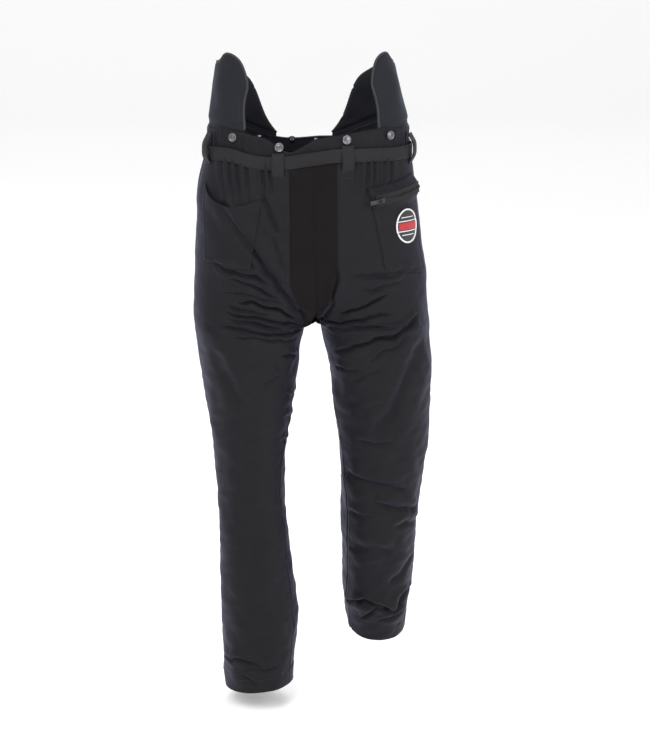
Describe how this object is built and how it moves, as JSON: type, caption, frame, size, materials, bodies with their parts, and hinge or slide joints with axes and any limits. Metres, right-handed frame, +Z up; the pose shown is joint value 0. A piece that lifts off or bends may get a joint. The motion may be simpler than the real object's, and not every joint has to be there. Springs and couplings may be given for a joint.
{
  "type": "ice hockey officiating pants",
  "caption": "Long black padded ice hockey pants with raised kidney flaps, webbing belt, suspender buttons, one open and one zipped pocket, and hinged legs.",
  "frame": {"origin": "centre of the waist opening at belt height", "axes": "+Z up through the waist opening, -Y the wearer's front, +X the wearer's left"},
  "size_m": [0.478, 0.3953, 1.3041],
  "materials": {
    "shell_cloth": "black nylon twill shell cloth, faint sheen",
    "stretch_cloth": "matt black stretch knit",
    "kidney_cover": "smooth navy-black bonded knit over foam",
    "lining": "navy-black lining",
    "elastic": "ribbed woven elastic",
    "webbing": "flat woven webbing",
    "piping": "folded binding tape",
    "foam": "closed-cell foam",
    "button_steel": "polished tack buttons",
    "zip_metal": "gunmetal plated",
    "zip_teeth": "moulded coil",
    "embroidery": "embroidered twill badge"
  },
  "bodies": {
    "hips": {"front_hip_panel_left": "shell_cloth", "front_hip_panel_right": "shell_cloth", "seat_panel_left": "shell_cloth", "seat_panel_right": "shell_cloth", "stretch_front_panel": "stretch_cloth", "crotch_gusset": "stretch_cloth", "waistband_outer": "shell_cloth", "waistband_elastic": "elastic", "waistband_lining": "lining", "belt": "webbing", "belt_loop_front_left": "webbing", "belt_loop_front_right": "webbing", "belt_loop_side_left": "webbing", "belt_loop_side_right": "webbing", "belt_loop_back_left": "webbing", "belt_loop_back_right": "webbing", "belt_loop_back_center": "webbing", "suspender_button_caps": "button_steel", "suspender_button_posts": "button_steel", "hand_pocket_patch": "shell_cloth", "zip_pocket_patch": "shell_cloth", "zip_tape": "webbing", "zip_teeth": "zip_teeth", "zip_stops": "zip_metal", "crest_badge": "embroidery", "hip_pad_left": "foam", "hip_pad_right": "foam", "tailbone_pad": "foam", "groin_fabric_left": "shell_cloth", "groin_fabric_right": "shell_cloth"},
    "front_flap_left": {"front_kidney_cover_left": "kidney_cover", "front_kidney_foam_left": "foam", "front_kidney_piping_left": "piping"},
    "front_flap_right": {"front_kidney_cover_right": "kidney_cover", "front_kidney_foam_right": "foam", "front_kidney_piping_right": "piping"},
    "rear_flap_left": {"rear_kidney_cover_left": "kidney_cover", "rear_kidney_foam_left": "foam", "rear_kidney_piping_left": "piping"},
    "rear_flap_right": {"rear_kidney_cover_right": "kidney_cover", "rear_kidney_foam_right": "foam", "rear_kidney_piping_right": "piping"},
    "thigh_left": {"thigh_front_panel_left": "shell_cloth", "thigh_back_panel_left": "shell_cloth", "thigh_pad_left": "foam", "knee_fabric_left": "shell_cloth"},
    "thigh_right": {"thigh_front_panel_right": "shell_cloth", "thigh_back_panel_right": "shell_cloth", "thigh_pad_right": "foam", "knee_fabric_right": "shell_cloth"},
    "shin_left": {"shin_front_panel_left": "shell_cloth", "shin_back_panel_left": "shell_cloth", "hem_band_left": "shell_cloth"},
    "shin_right": {"shin_front_panel_right": "shell_cloth", "shin_back_panel_right": "shell_cloth", "hem_band_right": "shell_cloth"},
    "zip_slider_body": {"zip_slider": "zip_metal"},
    "zip_pull_body": {"zip_pull": "zip_metal"},
    "belt_adjuster": {"belt_slide_adjuster": "zip_metal"}
  },
  "joints": [
    {"name": "hip_left", "type": "hinge", "parent": "hips", "child": "thigh_left", "pos_m": [0.115, 0, -0.25], "axis": [-1, 0, 0], "range_deg": [-10, 60], "deforming": ["groin_fabric_left"]},
    {"name": "hip_right", "type": "hinge", "parent": "hips", "child": "thigh_right", "pos_m": [-0.115, 0, -0.25], "axis": [-1, 0, 0], "range_deg": [-10, 60], "deforming": ["groin_fabric_right"]},
    {"name": "knee_left", "type": "hinge", "parent": "thigh_left", "child": "shin_left", "pos_m": [0.153, 0.0725, -0.7098], "axis": [1, 0, 0], "range_deg": [-12, 48], "deforming": ["knee_fabric_left"]},
    {"name": "knee_right", "type": "hinge", "parent": "thigh_right", "child": "shin_right", "pos_m": [-0.119, 0.021, -0.715], "axis": [1, 0, 0], "range_deg": [0, 60], "deforming": ["knee_fabric_right"]},
    {"name": "front_flap_left_fold", "type": "hinge", "parent": "hips", "child": "front_flap_left", "pos_m": [0.1832, -0.0609, 0.054], "axis": [0.5697, 0.8211, 0.0341], "range_deg": [0, 30], "stiffness_Nm_per_rad": 0.35},
    {"name": "rear_flap_left_fold", "type": "hinge", "parent": "hips", "child": "rear_flap_left", "pos_m": [0.163, 0.0823, 0.053], "axis": [-0.7576, 0.6235, -0.193], "range_deg": [0, 20], "stiffness_Nm_per_rad": 0.5},
    {"name": "front_flap_right_fold", "type": "hinge", "parent": "hips", "child": "front_flap_right", "pos_m": [-0.1832, -0.0609, 0.054], "axis": [0.5697, -0.8211, -0.0341], "range_deg": [0, 30], "stiffness_Nm_per_rad": 0.35},
    {"name": "rear_flap_right_fold", "type": "hinge", "parent": "hips", "child": "rear_flap_right", "pos_m": [-0.163, 0.0823, 0.053], "axis": [-0.7576, -0.6235, 0.193], "range_deg": [0, 20], "stiffness_Nm_per_rad": 0.5},
    {"name": "zip_slider_travel", "type": "hinge", "parent": "hips", "child": "zip_slider_body", "pos_m": [0.08266, 0.01208, -0.079], "axis": [-0.1194, -0.1007, 0.9877], "range_deg": [0, 40]},
    {"name": "zip_pull_swing", "type": "hinge", "parent": "zip_slider_body", "child": "zip_pull_body", "pos_m": [0.13555, -0.13122, -0.08721], "axis": [-0.1194, -0.1007, 0.9877], "range_deg": [0, 165]},
    {"name": "belt_adjuster_slide", "type": "slide", "parent": "hips", "child": "belt_adjuster", "axis": [-0.2924, 0.9563, 0], "range_m": [-0.006, 0.006]}
  ]
}
